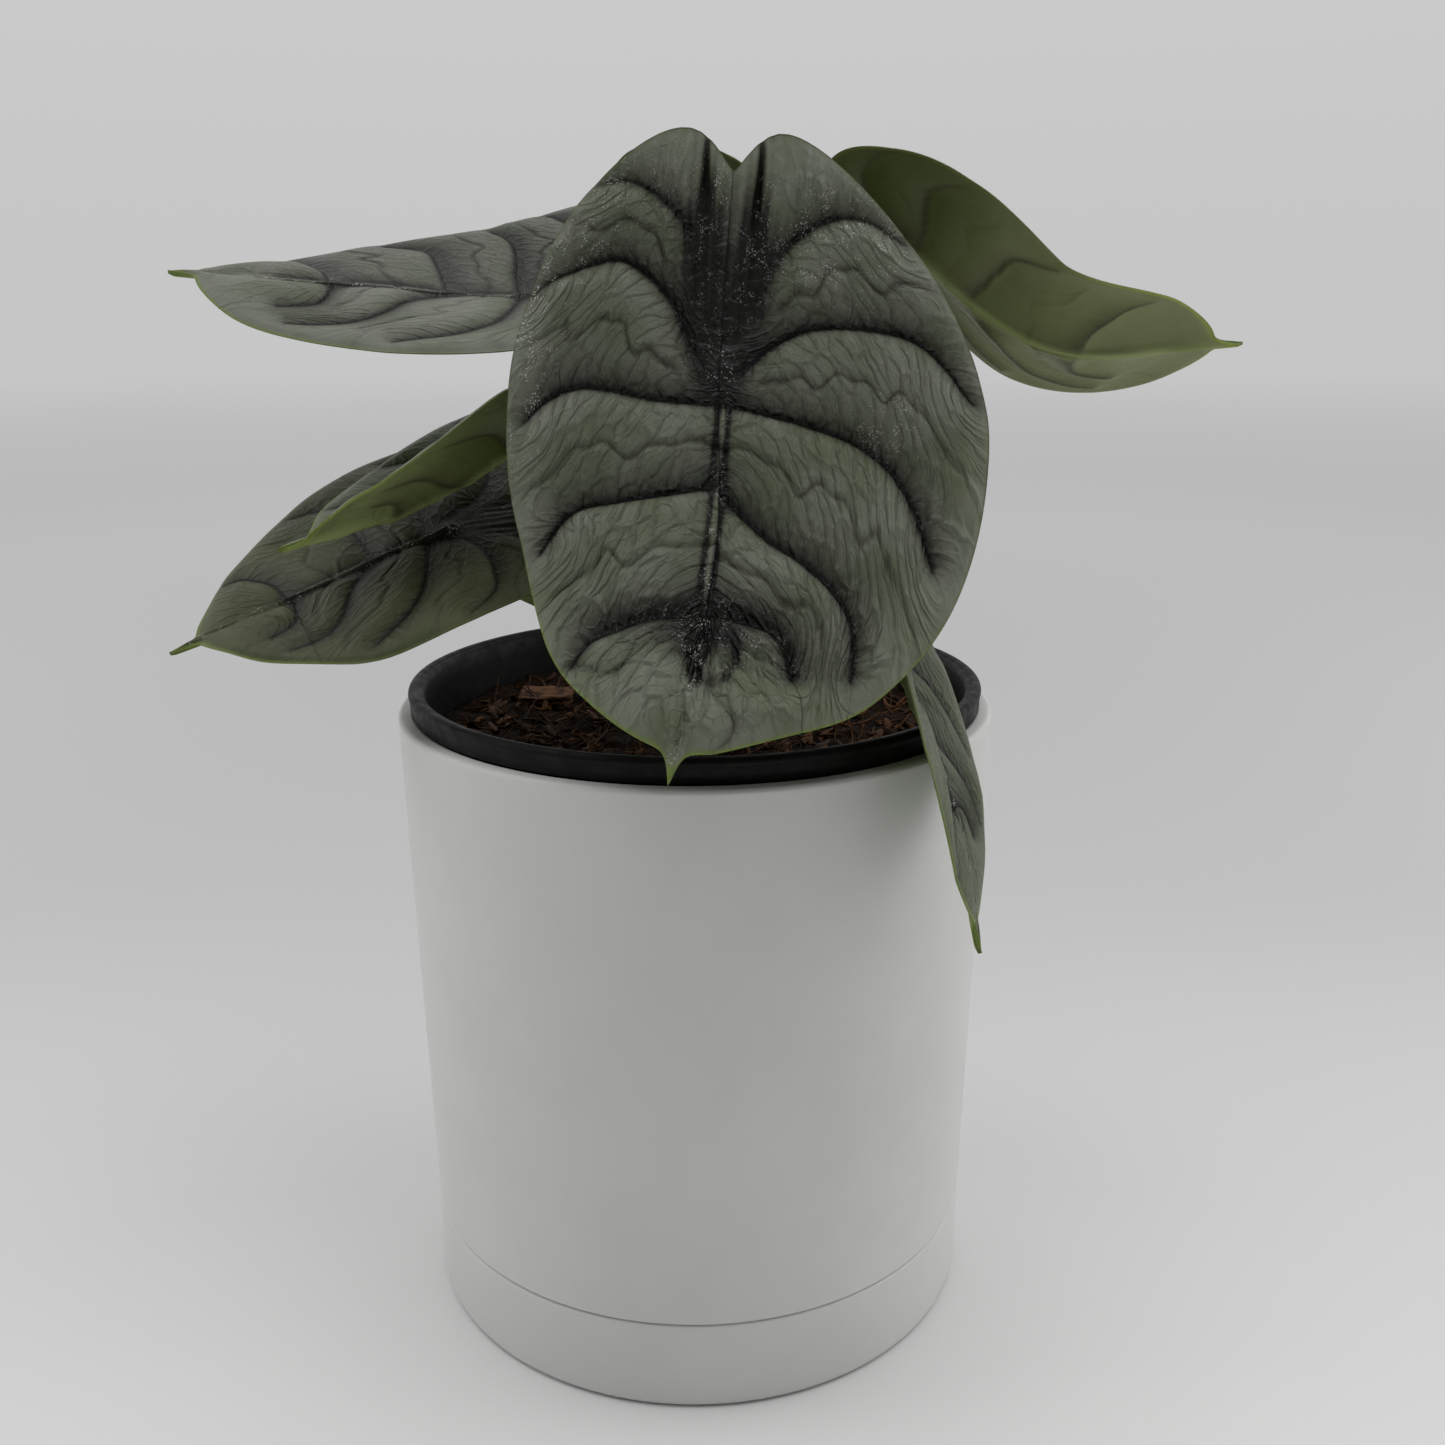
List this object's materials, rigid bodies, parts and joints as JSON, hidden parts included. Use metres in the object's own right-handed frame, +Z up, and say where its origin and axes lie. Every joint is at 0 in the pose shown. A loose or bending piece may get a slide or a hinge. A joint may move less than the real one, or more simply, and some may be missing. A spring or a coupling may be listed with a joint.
{
  "type": "potted alocasia",
  "caption": "Silver-leaved alocasia growing in a black nursery pot that hangs in a round white planter with a matching saucer.",
  "frame": {"origin": "centre of the saucer's flat underside, on the pots' common axis", "axes": "+Z up along the pots' axis; -Y towards the side that the large front leaf faces; +X to the right seen from that side"},
  "size_m": [0.2701, 0.221, 0.3095],
  "materials": {
    "planter": "matte",
    "nursery_pot": "satin",
    "potting_mix": "matte",
    "corm": "matte",
    "bark": "matte",
    "leaf_blade": "satin",
    "petiole": "satin"
  },
  "bodies": {
    "root": {"planter_saucer": "planter", "outer_planter": "planter", "nursery_pot": "nursery_pot", "potting_mix": "potting_mix", "corm": "corm", "bark_chip_1": "bark", "bark_chip_2": "bark", "bark_chip_3": "bark", "bark_chip_4": "bark", "blade_front": "leaf_blade", "blade_left_high": "leaf_blade", "blade_left_middle": "leaf_blade", "blade_left_low": "leaf_blade", "blade_right_high": "leaf_blade", "blade_right_low": "leaf_blade", "blade_back": "leaf_blade", "petiole_front": "petiole", "petiole_left_high": "petiole", "petiole_left_middle": "petiole", "petiole_left_low": "petiole", "petiole_right_high": "petiole", "petiole_right_low": "petiole", "petiole_back": "petiole"}
  },
  "joints": []
}
